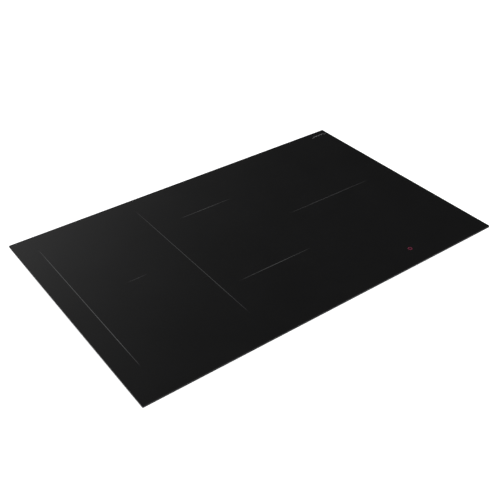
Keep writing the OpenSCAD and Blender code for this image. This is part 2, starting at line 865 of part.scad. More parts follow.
module cable_grommet() {
    color("#1c1c1c") translate([grommet_x, tray_y - box_wall, grommet_z]) rotate([-90, 0, 0]) difference() {
        union() {
            cylinder(h = box_wall + flange_t, r = grommet_r);
            translate([0, 0, -2]) cylinder(h = 2, r = grommet_r + 2);
            translate([0, 0, box_wall + flange_t]) cylinder(h = 2, r = grommet_r + 2);
        }
        translate([0, 0, -5]) cylinder(h = 20, r = cable_r);
    }
}

// ---- touch panel ----

touch_parts = [
    [-95, 8, 10, 10, 1.4], [-60, 6, 8, 8, 1.2], [40, 14, 18, 6, 2.5], [80, 12, 12, 12, 1.5], [-20, 12, 14, 8, 1.2]
];
guide_places = [-100, -72, -44, 44, 72, 100];

module touch_carrier() {
    z = touch_z - 5;
    color("#d9d9d6") translate([touch_x, touch_y, z]) difference() {
        union() {
            translate([-touch_w / 2 - 2, -touch_d / 2 - 2, 0]) cube([touch_w + 4, touch_d + 4, 5 + board_t]);
            for (s = [-1, 1]) translate([s * (touch_w / 2 + 6), 0, 1]) cube([10, 16, 2], center = true);
        }
        translate([-touch_w / 2 - side_gap, -touch_d / 2 - side_gap, 5])
            cube([touch_w + 2 * side_gap, touch_d + 2 * side_gap, 10]);
        for (i = [-3:3]) translate([i * 32 - 14, -touch_d / 2 + 3, 1.5]) cube([28, touch_d - 6, 10]);
        for (s = [-1, 1]) translate([s * (touch_w / 2 + 7.5), 0, -1]) cylinder(h = 4, r = 1.6);
    }
}

module light_guides() {
    color("#f2f2ee") translate([touch_x, touch_y, touch_z + board_t]) {
        for (x = guide_places) translate([x, front_y + power_inset - touch_y, 0])
            translate([-7, -5, 0]) cube([14, 10, 3.6]);
        translate([-power_shift, front_y + power_inset - touch_y, 0]) cylinder(h = 3.6, r = power_r + 1);
    }
}

glass_top();
zone_markings();
power_symbol();
corner_mark();
seal_cross(-1);  // seal_front
seal_cross(1);  // seal_rear
seal_side(-1);  // seal_left
seal_side(1);  // seal_right
rail_cross(-1);  // rail_front
rail_cross(1);  // rail_rear
rail_side(-1);  // rail_left
rail_side(1);  // rail_right
bottom_tray();
tray_screws();
rating_plate();
clamp(-1, -1);  // clamp_front_left
clamp(1, -1);  // clamp_front_right
clamp(-1, 1);  // clamp_rear_left
clamp(1, 1);  // clamp_rear_right
clamp_screws();
deck(left_deck_size, left_coils);  // left_deck
windings(left_coils);  // left_windings
formers(left_coils);  // left_formers
ferrite_sets(left_coils);  // left_ferrites
mats(left_coils);  // left_mats
sensors(left_coils);  // left_sensors
springs(left_deck_size);  // left_springs
deck(middle_deck_size, middle_coils);  // middle_deck
windings(middle_coils);  // middle_windings
formers(middle_coils);  // middle_formers
ferrite_sets(middle_coils);  // middle_ferrites
mats(middle_coils);  // middle_mats
sensors(middle_coils);  // middle_sensors
springs(middle_deck_size);  // middle_springs
deck(right_deck_size, right_coils);  // right_deck
windings(right_coils);  // right_windings
formers(right_coils);  // right_formers
ferrite_sets(right_coils);  // right_ferrites
mats(right_coils);  // right_mats
sensors(right_coils);  // right_sensors
springs(right_deck_size);  // right_springs
board(module_places[0], [board_w, board_d], board_z, board_parts);  // left_power_board
board(module_places[1], [board_w, board_d], board_z, board_parts);  // right_power_board
heatsink(module_places[0]);  // left_heatsink
heatsink(module_places[1]);  // right_heatsink
power_transistors();
capacitors();
chokes();
fan_housing(module_places[0]);  // left_fan_housing
fan_housing(module_places[1]);  // right_fan_housing
fan_rotor(module_places[0]);  // left_fan_rotor
fan_rotor(module_places[1]);  // right_fan_rotor
board(filter_place, filter_size, board_z, filter_parts);  // filter_board
terminal_box();
terminal_block();
terminal_cover();
cable_grommet();
board([touch_x, touch_y], [touch_w, touch_d], touch_z, touch_parts);  // touch_board
touch_carrier();
light_guides();
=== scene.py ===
"""The looks of a built-in induction cooktop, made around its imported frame. Metres, +Z up, front towards -Y."""

import json
from math import cos, pi, radians, sin

import bpy
import numpy as np
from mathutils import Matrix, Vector


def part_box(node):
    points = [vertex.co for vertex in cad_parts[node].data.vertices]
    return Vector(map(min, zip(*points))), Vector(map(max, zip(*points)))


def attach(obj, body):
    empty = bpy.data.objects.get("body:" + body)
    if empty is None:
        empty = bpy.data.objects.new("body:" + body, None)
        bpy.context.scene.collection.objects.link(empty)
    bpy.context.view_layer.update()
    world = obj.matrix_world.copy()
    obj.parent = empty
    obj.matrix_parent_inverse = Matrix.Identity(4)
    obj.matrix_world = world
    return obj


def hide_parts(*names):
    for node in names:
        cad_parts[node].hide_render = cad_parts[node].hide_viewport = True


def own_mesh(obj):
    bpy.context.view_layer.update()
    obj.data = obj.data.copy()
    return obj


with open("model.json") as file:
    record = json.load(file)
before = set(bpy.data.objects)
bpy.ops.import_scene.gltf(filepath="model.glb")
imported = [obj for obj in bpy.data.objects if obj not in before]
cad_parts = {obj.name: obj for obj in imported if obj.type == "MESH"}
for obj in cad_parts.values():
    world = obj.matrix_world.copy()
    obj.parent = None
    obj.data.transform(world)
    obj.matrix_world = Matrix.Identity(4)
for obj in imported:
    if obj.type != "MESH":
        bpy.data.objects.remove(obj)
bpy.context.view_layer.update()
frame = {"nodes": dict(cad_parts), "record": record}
NODES = frame["nodes"]
HOB = "hob"
MM = 0.001
EVEN = (1, 1, 1)
DECKS = ("left", "middle", "right")

GLASS_LOW, GLASS_HIGH = (np.array(corner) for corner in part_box("glass_top"))
GLASS_Z = GLASS_HIGH[2]
FRONT_LEFT = np.array([GLASS_LOW[0], GLASS_LOW[1], GLASS_Z])


# ---------------------------------------------------------------- camera

CAMERA_AZIMUTH = -36.6576
CAMERA_ELEVATION = 36.5045
CAMERA_LENS = 55.38
CAMERA_SENSOR = 36
# from the glass's front left corner, in metres
CAMERA_FROM_CORNER = np.array([-0.34146, -0.72949, 0.87678])


def add_camera():
    """A level camera, turned about Z by the azimuth and tipped down by the elevation."""
    data = bpy.data.cameras.new("camera")
    data.lens = CAMERA_LENS
    data.sensor_width = CAMERA_SENSOR
    camera = bpy.data.objects.new("camera", data)
    camera.location = FRONT_LEFT + CAMERA_FROM_CORNER
    camera.rotation_euler = (radians(90 - CAMERA_ELEVATION), 0, radians(CAMERA_AZIMUTH))
    bpy.context.scene.collection.objects.link(camera)
    bpy.context.scene.camera = camera


# ---------------------------------------------------------------- node helpers


class Finish:
    """A material being built: its principled shader, and short ways to drive it from patterns on
    Object coordinates."""

    def __init__(self, name, colour, roughness, metallic=0.0, **sockets):
        self.material = bpy.data.materials.new(name)
        self.material.use_nodes = True
        self.tree = self.material.node_tree
        self.shader = self.tree.nodes["Principled BSDF"]
        self.set(**{"Base Color": (*colour, 1), "Roughness": roughness, "Metallic": metallic, **sockets})
        self.colour = colour
        self.material.diffuse_color = (*colour, 1)

    def set(self, **sockets):
        for name, value in sockets.items():
            self.shader.inputs[name].default_value = value

    def node(self, kind, inputs=None, **settings):
        """A node with its settings, its inputs given as values or as sockets to link from."""
        made = self.tree.nodes.new(kind)
        for name, value in settings.items():
            setattr(made, name, value)
        for name, value in (inputs or {}).items():
            if isinstance(value, bpy.types.NodeSocket):
                self.tree.links.new(value, made.inputs[name])
            else:
                made.inputs[name].default_value = value
        return made

    def place(self, stretch=EVEN):
        """Object coordinates, stretched along each axis."""
        coordinates = self.node("ShaderNodeTexCoord").outputs["Object"]
        if stretch == EVEN:
            return coordinates
        return self.node("ShaderNodeMapping", {"Vector": coordinates, "Scale": stretch}).outputs["Vector"]

    def noise(self, size, detail=3.0, stretch=EVEN, distortion=0.0):
        """Cloudy noise whose lumps are about size metres wide."""
        return self.node(
            "ShaderNodeTexNoise",
            {"Vector": self.place(stretch), "Scale": 1 / size, "Detail": detail, "Distortion": distortion},
        ).outputs["Fac"]

    def cells(self, size, output="Color"):
        """Crystal cells about size metres wide."""
        return self.node("ShaderNodeTexVoronoi", {"Vector": self.place(), "Scale": 1 / size}).outputs[output]

    def attribute(self, name):
        return self.node("ShaderNodeAttribute", attribute_name=name).outputs["Fac"]

    def spread(self, value, low, high, start=0.3, end=0.7):
        """A pattern value mapped from start..end to low..high."""
        return self.node(
            "ShaderNodeMapRange",
            {"Value": value, "From Min": start, "From Max": end, "To Min": low, "To Max": high},
        ).outputs["Result"]

    def blend(self, factor, first, second):
        """A colour between two colours or colour sockets."""
        made = self.node("ShaderNodeMix", {"Factor": factor}, data_type="RGBA")
        for index, value in ((6, first), (7, second)):
            if isinstance(value, bpy.types.NodeSocket):
                self.tree.links.new(value, made.inputs[index])
            else:
                made.inputs[index].default_value = (*value, 1)
        return made.outputs[2]

    def drive(self, socket, value):
        self.tree.links.new(value, self.shader.inputs[socket])

    def shades(self, pattern, amount, start=0.3, end=0.7):
        """The base colour goes darker and lighter by amount with a pattern."""
        factor = self.spread(pattern, 0, 1, start, end)
        dark = tuple(c * (1 - amount) for c in self.colour)
        light = tuple(min(1, c * (1 + amount)) for c in self.colour)
        self.drive("Base Color", self.blend(factor, dark, light))

    def bump(self, height, depth, strength=1.0):
        made = self.node("ShaderNodeBump", {"Height": height, "Distance": depth, "Strength": strength})
        self.drive("Normal", made.outputs["Normal"])


# ---------------------------------------------------------------- finishes

# the sizes of patterns and the depths of bumps are in metres
GLASS_BLACK = (0.0035, 0.0035, 0.0037)
GLASS_POLISH = 0.12
GLASS_IOR = 1.5


def black_glass():
    """Polished black glass-ceramic with a barely uneven sheen."""
    f = Finish("black glass-ceramic", GLASS_BLACK, GLASS_POLISH, IOR=GLASS_IOR)
    f.shades(f.noise(0.09), 0.2)
    f.drive("Roughness", f.spread(f.noise(0.004), GLASS_POLISH - 0.015, GLASS_POLISH + 0.015))
    return f.material


def ground_glass():
    """The ground rim of the glass sheet."""
    f = Finish("ground glass rim", (0.0055, 0.0055, 0.006), 0.45, IOR=GLASS_IOR)
    f.set(**{"Specular IOR Level": 0.16})
    f.shades(f.noise(0.0015), 0.25)
    f.drive("Roughness", f.spread(f.noise(0.0008), 0.38, 0.55))
    return f.material


ENAMEL_SHEEN = 0.32


def enamel(name, colour, painted_glow=0.0):
    """Fired enamel over black glass: the ink attribute runs from 0, bare glass, to 1, full print. If asked, the
    print also gives off faint light of its own colour, painted light, though it is no lamp.
    """
    f = Finish(name, colour, ENAMEL_SHEEN, IOR=GLASS_IOR)
    ink = f.attribute("ink")
    grain = f.spread(f.noise(0.0007), 0.85, 1.1)
    cover = f.node("ShaderNodeMath", {0: ink, 1: grain}, operation="MULTIPLY", use_clamp=True).outputs[0]
    f.drive("Base Color", f.blend(cover, GLASS_BLACK, colour))
    f.drive("Roughness", f.spread(cover, GLASS_POLISH, ENAMEL_SHEEN, 0, 1))
    # painted light: the print emits light of its own colour, though nothing lights it from within
    if painted_glow:
        f.set(**{"Emission Color": (*colour, 1), "Emission Strength": painted_glow})
    return f.material


def foam():
    """Closed-cell foam: open pores in a dull black skin."""
    f = Finish("black foam tape", (0.012, 0.012, 0.012), 0.9)
    f.shades(f.noise(0.002), 0.4)
    f.bump(f.cells(0.0007, "Distance"), 0.0003)
    return f.material


# how much finer a drawn line is across its axis than along it
FINE = 40


def brushed_metal(name, colour, roughness, along=(FINE, 1, FINE), size=0.02, metallic=1.0):
    """Rolled or drawn metal: fine lines along one axis and soft clouds of tone."""
    f = Finish(name, colour, roughness, metallic)
    lines = f.noise(size, 4.0, along)
    f.shades(lines, 0.08)
    f.drive("Roughness", f.spread(f.noise(0.03), roughness * 0.85, roughness * 1.2))
    f.bump(lines, 0.00005, 0.5)
    return f.material


def zinc_sheet():
    """Hot-dip zinc coating: crystal spangle in tone and gloss under a fine rolled grain."""
    f = Finish("zinc-coated sheet", (0.46, 0.475, 0.485), 0.42, 0.85)
    crystal = f.cells(0.011)
    split = f.node("ShaderNodeSeparateColor", {"Color": crystal})
    grain = f.noise(0.0009, 2.0)
    facets = f.blend(split.outputs["Red"], (0.36, 0.375, 0.39), (0.55, 0.565, 0.57))
    tone = f.blend(0.25, facets, (0.45, 0.46, 0.47))
    f.drive("Base Color", f.blend(f.spread(f.noise(0.12), 0, 0.5), tone, (0.4, 0.41, 0.415)))
    f.drive("Roughness", f.spread(split.outputs["Green"], 0.32, 0.5, 0, 1))
    f.bump(grain, 0.00006, 0.5)
    return f.material


def bright_zinc(name):
    """Bright zinc plating with a warm cast."""
    f = Finish(name, (0.66, 0.65, 0.6), 0.25, 1.0)
    f.shades(f.noise(0.003), 0.12)
    f.drive("Roughness", f.spread(f.noise(0.0015), 0.18, 0.36))
    return f.material


def moulded(name, colour, roughness, grain=0.0006, depth=0.00004):
    """Moulded plastic or rubber: a fine sparked grain and a slight cloudiness."""
    f = Finish(name, colour, roughness)
    f.shades(f.noise(0.012), 0.08)
    f.drive("Roughness", f.spread(f.noise(0.004), roughness * 0.88, min(1, roughness * 1.12)))
    f.bump(f.noise(grain, 2.0), depth, 0.7)
    return f.material


def fibre_mat():
    """Pressed ceramic fibres, drawn out across the mat."""
    f = Finish("ceramic-fibre mat", (0.74, 0.72, 0.66), 0.95)
    threads = f.noise(0.004, 6.0, (1, 6, 1), 2.5)
    f.shades(threads, 0.16)
    f.bump(threads, 0.0004)
    return f.material


# crests that the strands show round a bundle, each with a painted highlight, and painted shade in the grooves
# between them
STRANDS = 7


def stranded_copper():
    """Enamelled copper strands: the strand attribute runs round the bundle as it twists, and the base colour
    follows the strands round it, with painted shade in the grooves between them and a painted highlight on their
    crests.
    """
    f = Finish("enamelled litz", (0.5, 0.19, 0.075), 0.34, 0.9)
    strand = f.attribute("strand")
    wave = f.node("ShaderNodeMath", {0: strand, 1: 2 * pi * STRANDS}, operation="MULTIPLY").outputs[0]
    ridge_and_painted_shade = f.node("ShaderNodeMath", {0: wave}, operation="SINE").outputs[0]
    # painted shade and highlight: the base colour goes darker in the grooves between strands and lighter on their
    # crests, on the same wave as the bump
    f.shades(ridge_and_painted_shade, 0.35, -1, 1)
    f.drive("Roughness", f.spread(f.noise(0.006), 0.28, 0.42))
    f.bump(ridge_and_painted_shade, 0.0001, 0.6)
    return f.material


def circuit_green():
    """Solder mask over copper tracks, with bare tinned pads."""
    f = Finish("green circuit board", (0.012, 0.13, 0.05), 0.35)
    pattern = f.node(
        "ShaderNodeTexBrick",
        {
            "Vector": f.place(),
            "Scale": 110.0,
            "Mortar Size": 0.03,
            "Color1": (0, 0, 0, 1),
            "Color2": (0.25, 0.25, 0.25, 1),
            "Mortar": (1, 1, 1, 1),
            "Brick Width": 0.9,
            "Row Height": 0.28,
        },
    ).outputs["Color"]
    pads = f.spread(f.cells(0.0055, "Distance"), 1, 0, 0.12, 0.16)
    track = f.node("ShaderNodeRGBToBW", {"Color": pattern}).outputs[0]
    masked = f.blend(track, (0.01, 0.11, 0.042), (0.02, 0.2, 0.08))
    f.drive("Base Color", f.blend(pads, masked, (0.6, 0.6, 0.56)))
    f.drive("Roughness", f.spread(f.noise(0.01), 0.28, 0.42))
    return f.material


def speckled(name, colour, roughness, size=0.0012, amount=0.3):
    """Pressed or fired body with a speckle, such as ferrite or porcelain."""
    f = Finish(name, colour, roughness)
    f.shades(f.noise(size, 5.0), amount)
    f.drive("Roughness", f.spread(f.noise(0.003), roughness * 0.85, min(1, roughness * 1.15)))
    f.bump(f.noise(size, 3.0), 0.00005, 0.6)
    return f.material


BLACK_GLASS = black_glass()
GROUND_GLASS = ground_glass()
GREY_PRINT = enamel("grey enamel print", (0.11, 0.11, 0.112))
MARK_PRINT = enamel("grey corner print", (0.24, 0.24, 0.245))
# the red print also emits faint light of its own colour, painted light, though it is no lamp
RED_PRINT_PAINTED_GLOW = enamel("red enamel print with painted glow", (0.4, 0.035, 0.11), painted_glow=0.05)
FOAM = foam()
SHEET = zinc_sheet()
COPPER = stranded_copper()

FINISHES = {
    "black_glass": BLACK_GLASS,
    "grey_print": GREY_PRINT,
    "red_print": RED_PRINT_PAINTED_GLOW,
    "foam_tape": FOAM,
    "rail_aluminium": brushed_metal("extruded rail", (0.72, 0.73, 0.74), 0.35),
    "zinc_steel": SHEET,
    "screw_steel": bright_zinc("bright zinc plating"),
    "plate_aluminium": brushed_metal("satin plate", (0.78, 0.79, 0.8), 0.38, (1, 60, 60), 0.01, 0.9),
    "clamp_steel": bright_zinc("zinc-plated strip"),
    "deck_aluminium": brushed_metal("deck sheet", (0.7, 0.71, 0.72), 0.4, (1, 50, 1)),
    "litz": COPPER,
    "former_plastic": moulded("heat-proof plastic", (0.62, 0.59, 0.52), 0.5),
    "ferrite": speckled("pressed ferrite", (0.03, 0.03, 0.034), 0.55),
    "fibre_mat": fibre_mat(),
    "sensor_silicone": moulded("red silicone", (0.36, 0.04, 0.02), 0.55),
    "spring_steel": brushed_metal("spring wire", (0.5, 0.51, 0.52), 0.3, (1, 1, 1), 0.004),
    "circuit_board": circuit_green(),
    "heatsink_aluminium": brushed_metal("heatsink extrusion", (0.74, 0.75, 0.76), 0.36, (60, 1, 60)),
    "component_black": moulded("black epoxy", (0.015, 0.015, 0.016), 0.45),
    "capacitor_case": moulded("capacitor case", (0.7, 0.68, 0.6), 0.36),
    "choke_wire": COPPER,
    "fan_plastic": moulded("fan plastic", (0.022, 0.022, 0.024), 0.5),
    "terminal_plastic": moulded("terminal plastic", (0.03, 0.03, 0.032), 0.5, 0.0009, 0.00008),
    "terminal_ceramic": speckled("terminal porcelain", (0.78, 0.76, 0.68), 0.5, 0.002, 0.08),
    "grommet_rubber": moulded("grommet rubber", (0.012, 0.012, 0.012), 0.75),
    "touch_plastic": moulded("touch panel plastic", (0.7, 0.7, 0.67), 0.42),
}


# ---------------------------------------------------------------- surfaces


def grid_faces(rows, columns, closed_rows=False, closed_columns=False):
    """Quads of a rows x columns grid of points, joined end to end along a closed direction."""
    i = np.arange(rows if closed_rows else rows - 1)
    j = np.arange(columns if closed_columns else columns - 1)
    i, j = np.meshgrid(i, j, indexing="ij")
    k, l = (i + 1) % rows, (j + 1) % columns
    quads = np.stack([i * columns + j, i * columns + l, k * columns + l, k * columns + j], axis=-1)
    return quads.reshape(-1, 4)


def join(parts):
    """Several (points, faces) pairs as one, with each part's faces renumbered past the points before it."""
    points, faces, start = [], [], 0
    for part_points, part_faces in parts:
        points.append(part_points.reshape(-1, 3))
        faces += [[start + v for v in face] for face in part_faces]
        start += len(points[-1])
    return np.concatenate(points), faces


def piece(name, parts, body, materials, replaced, smooth=True, attributes=None):
    """A new piece from (points, faces) parts, riding on a body and standing for CAD nodes. End caps stay flat."""
    points, faces = join(parts)
    mesh = bpy.data.meshes.new(name)
    mesh.from_pydata(points.tolist(), [], faces)
    for key, values in (attributes or {}).items():
        mesh.attributes.new(key, "FLOAT", "POINT").data.foreach_set("value", np.concatenate(values).ravel())
    for material in materials:
        mesh.materials.append(material)
    mesh.polygons.foreach_set("use_smooth", [smooth and len(face) == 4 for face in faces])
    mesh.update()
    made = bpy.data.objects.new(name, mesh)
    bpy.context.scene.collection.objects.link(made)
    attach(made, body)
    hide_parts(*replaced)
    return made


def full_ink(parts):
    """The ink attribute of prints that are solid all over."""
    return [np.ones(points.shape[0] * points.shape[1]) for points, _ in parts]


def closed_ends(rows, columns):
    """The faces of a closed section carried along a path: its sides and its two end caps."""
    faces = grid_faces(rows, columns, closed_columns=True).tolist()
    faces.append(list(range(columns))[::-1])
    faces.append(list(range((rows - 1) * columns, rows * columns)))
    return faces


def outline(width, depth, radius, steps=8):
    """A rounded rectangle, anticlockwise: four quarter circles of the radius about its corners' centres."""
    quarter = np.linspace(0, pi / 2, steps + 1)
    centres = np.array([[1, 1], [-1, 1], [-1, -1], [1, -1]]) * [width / 2 - radius, depth / 2 - radius]
    angle = quarter[None, :] + np.arange(4)[:, None] * pi / 2
    return (centres[:, None] + radius * np.stack([np.cos(angle), np.sin(angle)], -1)).reshape(-1, 2)


def frames_along(path, lean=(0, 0, 1.0)):
    """Unit tangents of a path in space, and two unit normals: one square to the lean, one square to both."""
    tangent = np.gradient(path, axis=0)
    tangent /= np.linalg.norm(tangent, axis=1, keepdims=True)
    side = np.cross(tangent, lean)
    side /= np.linalg.norm(side, axis=1, keepdims=True)
    return tangent, side, np.cross(tangent, side)


def tube(path, radius, sides, lobes=0, lobe_depth=0.0, twist=0.0, lean=(0, 0, 1.0)):
    """A round bar along an open path: at each point a ring of radius r(1 + d cos(lobes(a - twist s))) in the
    plane of the two normals, with flat ends."""
    _, side, up = frames_along(path, lean)
    step = np.linalg.norm(np.diff(path, axis=0), axis=1)
    run = np.concatenate([[0], np.cumsum(step)])
    angle = np.linspace(0, 2 * pi, sides, endpoint=False)
    reach = radius * (1 + lobe_depth * np.cos(lobes * (angle[None] - twist * run[:, None])))
    ring = side[:, None] * (reach * np.cos(angle))[..., None] + up[:, None] * (reach * np.sin(angle))[..., None]
    points = path[:, None] + ring
    strand = (angle[None] / (2 * pi) + run[:, None] * twist) * np.ones((len(path), 1))
    return points, closed_ends(len(path), sides), strand


def ribbon(path, width, base, height, columns=7):
    """A print laid along a flat path: across it, height falls as 1 - 0.9 v^6 to both edges, over a flat
    underside."""
    path3 = np.column_stack([path, np.zeros(len(path))])
    _, side, _ = frames_along(path3)
    v = np.linspace(-1, 1, columns)
    top = path3[:, None] + side[:, None] * (v * width / 2)[None, :, None]
    top[..., 2] = base + height * (1 - 0.9 * v**6)
    low = top[:, ::-1].copy()
    low[..., 2] = base
    points = np.concatenate([top, low], axis=1)
    return points, closed_ends(*points.shape[:2])


def lathe(profile, centre, sides=64):
    """A closed outline of (radius, height) points turned about the upright axis through centre."""
    angle = np.linspace(0, 2 * pi, sides, endpoint=False)
    profile = np.array(profile)[::-1]
    points = np.stack(
        [
            centre[0] + profile[:, 0] * np.cos(angle)[:, None],
            centre[1] + profile[:, 0] * np.sin(angle)[:, None],
            centre[2] + profile[:, 1] * np.ones((sides, 1)),
        ],
        axis=-1,
    )
    return points, grid_faces(sides, len(profile), closed_rows=True, closed_columns=True).tolist()


# ---------------------------------------------------------------- glass, tape and prints

GLASS_CORNER = 2 * MM
GLASS_CHAMFER = 0.35 * MM


def glass_top():
    """The sheet: rings of the rounded outline, set in by the ground rim's chamfer at the top and the bottom."""
    width, depth, _ = GLASS_HIGH - GLASS_LOW
    rings = [
        (GLASS_CHAMFER, GLASS_LOW[2]),
        (0, GLASS_LOW[2] + GLASS_CHAMFER),
        (0, GLASS_Z - GLASS_CHAMFER),
        (GLASS_CHAMFER, GLASS_Z),
    ]
    loops = []
    for inset, z in rings:
        flat = outline(width - 2 * inset, depth - 2 * inset, GLASS_CORNER - inset)
        loops.append(np.column_stack([flat, np.full(len(flat), z)]))
    points = np.array(loops)
    count = points.shape[1]
    faces = grid_faces(4, count, closed_columns=True).tolist()
    rim_faces = len(faces)
    faces.append(list(range(count))[::-1])
    faces.append(list(range(3 * count, 4 * count)))
    materials = [BLACK_GLASS, GROUND_GLASS]
    made = piece("glass", [(points, faces)], HOB, materials, ["glass_top"], smooth=False)
    index = np.zeros(len(faces), dtype=np.int32)
    index[:rim_faces] = 1
    made.data.polygons.foreach_set("material_index", index)


def foam_tapes():
    """Each tape: a superellipse section, x = a cos(t)^(1/4), z = b sin(t)^(1/4), carried along its length."""
    t = np.linspace(0, 2 * pi, 40, endpoint=False)
    wave = np.stack([np.cos(t), np.sin(t)], -1)
    section = np.sign(wave) * abs(wave) ** 0.25
    for side in ("front", "rear", "left", "right"):
        low, high = (np.array(corner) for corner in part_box(f"seal_{side}"))
        middle, half = (low + high) / 2, (high - low) / 2
        along = int(np.argmax(half))
        across = 1 - along
        stations = np.linspace(-1, 1, 41)
        points = np.empty((len(stations), len(t), 3))
        points[..., along] = middle[along] + half[along] * stations[:, None]
        points[..., across] = middle[across] + half[across] * section[:, 0]
        points[..., 2] = middle[2] + half[2] * section[:, 1]
        # front to back the axes' order swaps, so the stations are reversed to keep the faces outward
        if along == 1:
            points = points[::-1]
        faces = closed_ends(*points.shape[:2])
        piece(f"foam_{side}", [(points, faces)], HOB, [FOAM], [f"seal_{side}"])


PRINT_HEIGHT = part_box("zone_markings")[1][2] - GLASS_Z
LINE_WIDTH = 1.2 * MM
FADE = 85 * MM
END_FADE = 14 * MM
END_INK = 0.4


def fading_line(middle, length, along, strength):
    """A straight print: ink rises in a line over END_FADE to END_INK of its strength, then as sin^2 over FADE."""
    s = np.linspace(-length / 2, length / 2, 121)
    path = np.zeros((len(s), 2)) + middle
    path[:, along] += s
    inward = length / 2 - abs(s)
    body = END_INK + (1 - END_INK) * np.sin(np.clip(inward / FADE, 0, 1) * pi / 2) ** 2
    ink = strength * body * np.clip(inward / END_FADE, 0, 1)
    points, faces = ribbon(path, LINE_WIDTH, GLASS_Z, PRINT_HEIGHT)
    return points, faces, np.repeat(ink, points.shape[1])


# each line's middle and length in mm, its direction (0 crossways, 1 front to back) and its ink's strength
ZONE_LINES = [
    (-359.5, 15, 392, 1, 0.85),
    (-143, 19, 396, 1, 0.55),
    (-251, 19, 48, 0, 0.75),
    (-20, 136.5, 130, 0, 0.9),
    (-20, -98, 170, 0, 0.8),
    (217, 19, 222, 0, 0.6),
]


def zone_markings():
    """The fading lines that part the cooking zones."""
    lines = [fading_line((x * MM, y * MM), length * MM, *rest) for x, y, length, *rest in ZONE_LINES]
    parts = [(points, faces) for points, faces, _ in lines]
    inks = [ink for _, _, ink in lines]
    piece("zone_lines", parts, HOB, [GREY_PRINT], ["zone_markings"], attributes={"ink": inks})


def power_symbol():
    """A ring open at the top, with a bar standing in the gap."""
    low, high = (np.array(corner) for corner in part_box("power_symbol"))
    radius = (high[0] - low[0]) / 2
    centre = np.array([(low[0] + high[0]) / 2, low[1] + radius])
    stroke = 0.2 * radius
    middle = radius - stroke / 2
    gap = radians(33)
    angle = np.linspace(pi / 2 + gap, 5 * pi / 2 - gap, 97)
    ring = centre + middle * np.stack([np.cos(angle), np.sin(angle)], -1)
    bar = np.column_stack([np.full(12, centre[0]), np.linspace(centre[1] + 0.15 * radius, high[1], 12)])
    parts = [ribbon(path, stroke, GLASS_Z, PRINT_HEIGHT) for path in (ring, bar)]
    inks = {"ink": full_ink(parts)}
    piece("power_sign", parts, HOB, [RED_PRINT_PAINTED_GLOW], ["power_symbol"], attributes=inks)


def corner_mark():
    """The circuit sign of a coil: four half turns side by side between two leads, each its own stroke."""
    low, high = (np.array(corner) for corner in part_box("corner_mark"))
    stroke = 0.22 * (high[1] - low[1])
    base = low[1] + stroke / 2
    turns = 4
    turn = high[1] - low[1] - stroke
    x0 = (low[0] + high[0]) / 2 - turns * turn
    angle = np.linspace(pi, 0, 25)
    strokes = [
        np.column_stack([x0 + turn * (1 + 2 * k + np.cos(angle)), base + turn * np.sin(angle)])
        for k in range(turns)
    ]
    for start, end in ((low[0], x0), (x0 + 2 * turns * turn, high[0])):
        strokes.append(np.column_stack([np.linspace(start, end, 9), np.full(9, base)]))
    parts = [ribbon(path, stroke, GLASS_Z, PRINT_HEIGHT) for path in strokes]
    inks = {"ink": full_ink(parts)}
    piece("coil_sign", parts, HOB, [MARK_PRINT], ["corner_mark"], attributes=inks)


# ---------------------------------------------------------------- coils and springs

# middle of each coil, the length added from side to side, and its outer radius, all in mm
COILS = {
    "left": [(-251, -79, 22, 86), (-251, 109, 22, 86)],
    "middle": [(-20, -98, 0, 98), (-20, 136.5, 0, 70)],
    "right": [(217, 19, 0, 110)],
}
# radius of the bare middle, width of the former's rim, pitch of the turns and radius of the bundle, in mm
COIL_HOLE = 24
COIL_RIM = 3
TURN_PITCH = 3.4
LITZ_RADIUS = 1.6
# the bundle's lobes: how many, how deep as a share of its radius, and their twist in radians a metre
LITZ_LOBES = 5
LITZ_LOBE_DEPTH = 0.07
LITZ_TWIST = 60
# how steeply a long coil's turns cross from one side's centre to the other's
CROSSING = 6


def spiral(x, y, stretch, radius, z):
    """A flat spiral: r falls by the pitch each turn, and x gains half the stretch on each side of the middle."""
    outer = radius - COIL_RIM - LITZ_RADIUS
    turns = int((outer - COIL_HOLE) / TURN_PITCH)
    angle = np.linspace(0, 2 * pi * turns, 96 * turns + 1)
    r = outer - TURN_PITCH * angle / (2 * pi)
    shift = stretch / 2 * np.clip(np.cos(angle) * CROSSING, -1, 1)
    flat = np.column_stack([x + shift + r * np.cos(angle), y + r * np.sin(angle)]) * MM
    return np.column_stack([flat, np.full(len(flat), z)])


def windings():
    """Each deck's coils: a bundle with lobes that twist along it, carried along a flat spiral."""
    for deck in DECKS:
        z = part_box(f"{deck}_windings")[0][2] + LITZ_RADIUS * MM
        tubes = [
            tube(spiral(*coil, z), LITZ_RADIUS * MM, 10, LITZ_LOBES, LITZ_LOBE_DEPTH, LITZ_TWIST)
            for coil in COILS[deck]
        ]
        piece(
            f"{deck}_litz",
            [(points, faces) for points, faces, _ in tubes],
            f"{deck}_coil_deck",
            [COPPER],
            [f"{deck}_windings"],
            attributes={"strand": [strand.ravel() for *_, strand in tubes]},
        )


# middle of each choke on the power and filter boards, in mm
CHOKES = [(-221, 57), (247, 61), (-67, 100), (-67, 136)]
# radii of the ring, of its section, of its wire and of the foot
CHOKE_RING = 12 * MM
CHOKE_SECTION = 5.5 * MM
CHOKE_WIRE = 0.55 * MM
CHOKE_FOOT = 13 * MM
CHOKE_TURNS = 17
# where on the strands' painted shade and highlight the core and the wire take their even tone from
CORE_TONE = 0.0
WIRE_TONE = 0.05


